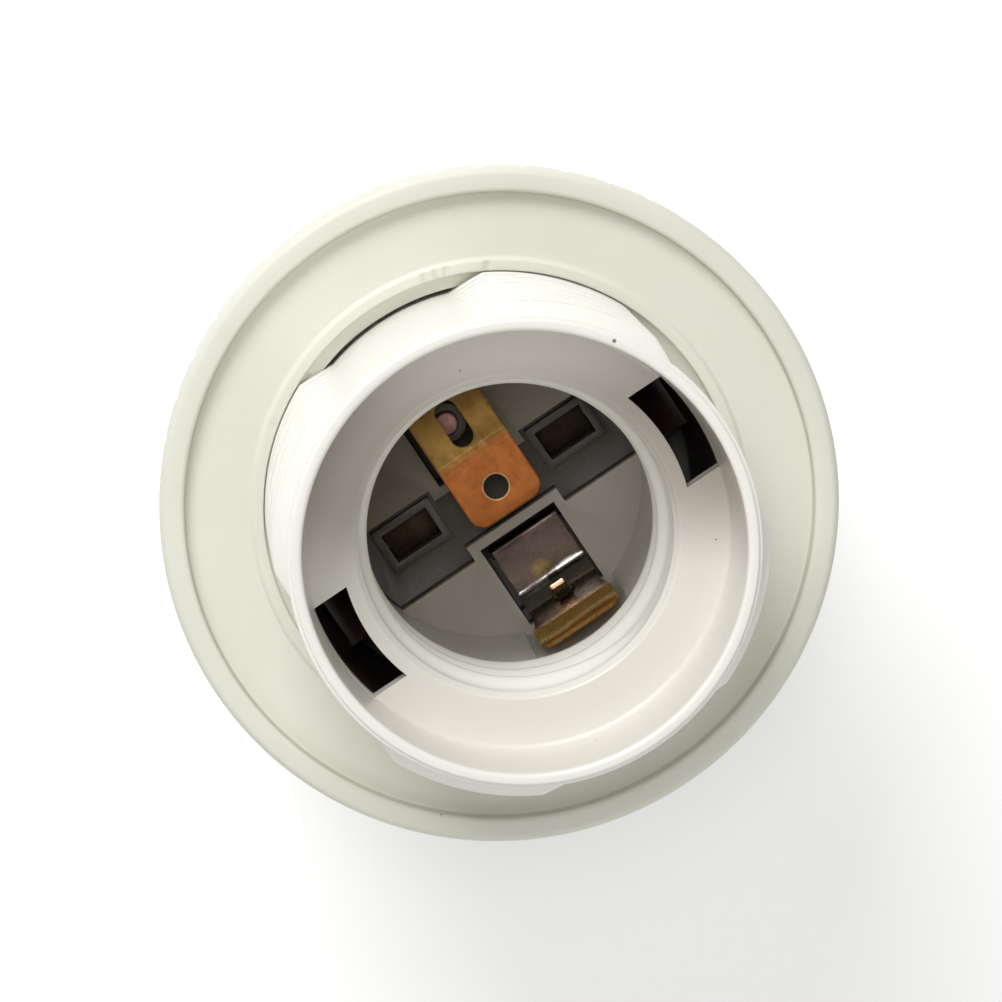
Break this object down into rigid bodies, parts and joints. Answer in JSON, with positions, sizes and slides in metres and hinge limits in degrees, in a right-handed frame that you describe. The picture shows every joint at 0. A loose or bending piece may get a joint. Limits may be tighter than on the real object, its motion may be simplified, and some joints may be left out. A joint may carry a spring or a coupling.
{
  "type": "screw-cap lamp holder with shade ring",
  "caption": "Plastic screw-cap lamp holder with a threaded skirt, a flanged shade ring, sprung brass contacts and a domed cap with a threaded rear entry.",
  "frame": {"origin": "centre of the neck's flat end, which the holder stands on", "axes": "+Z out of the mouth along the lamp axis, +X through the two release windows, +Y towards the root of the centre contact"},
  "size_m": [0.0598, 0.0598, 0.0614],
  "materials": {
    "sleeve_plastic": "satin moulded thermoplastic, off-white",
    "ring_plastic": "matt moulded thermoplastic, cream",
    "carrier_plastic": "matt moulded insulating plastic, light grey",
    "strip_brass": "rolled brass sheet, tarnished to copper at the tab",
    "leaf_brass": "rolled spring brass, tarnished brown",
    "rivet_copper": "copper rivet, dull",
    "terminal_brass": "turned brass",
    "screw_steel": "zinc-plated steel"
  },
  "bodies": {
    "holder": {"front_sleeve": "sleeve_plastic", "rear_cap": "sleeve_plastic", "neck_lock_screw": "screw_steel", "contact_carrier": "carrier_plastic", "centre_rivet": "rivet_copper", "live_bus_strip": "strip_brass", "neutral_bus_strip": "strip_brass", "live_terminal_block": "terminal_brass", "neutral_terminal_block": "terminal_brass", "live_terminal_screw": "screw_steel", "neutral_terminal_screw": "screw_steel"},
    "ring": {"shade_ring": "ring_plastic"},
    "centre_spring": {"centre_contact": "strip_brass"},
    "side_spring": {"side_contact": "leaf_brass"}
  },
  "joints": [
    {"name": "ring_travel", "type": "slide", "parent": "holder", "child": "ring", "axis": [0, 0, 1], "range_m": [0, 0.0225]},
    {"name": "centre_contact_flex", "type": "hinge", "parent": "holder", "child": "centre_spring", "pos_m": [0, 0.0121, 0.0209], "axis": [1, 0, 0], "range_deg": [0, 5], "stiffness_Nm_per_rad": 0.4},
    {"name": "side_contact_flex", "type": "hinge", "parent": "holder", "child": "side_spring", "pos_m": [0, -0.0118, 0.0196], "axis": [1, 0, 0], "range_deg": [0, 2.5], "stiffness_Nm_per_rad": 0.4}
  ]
}
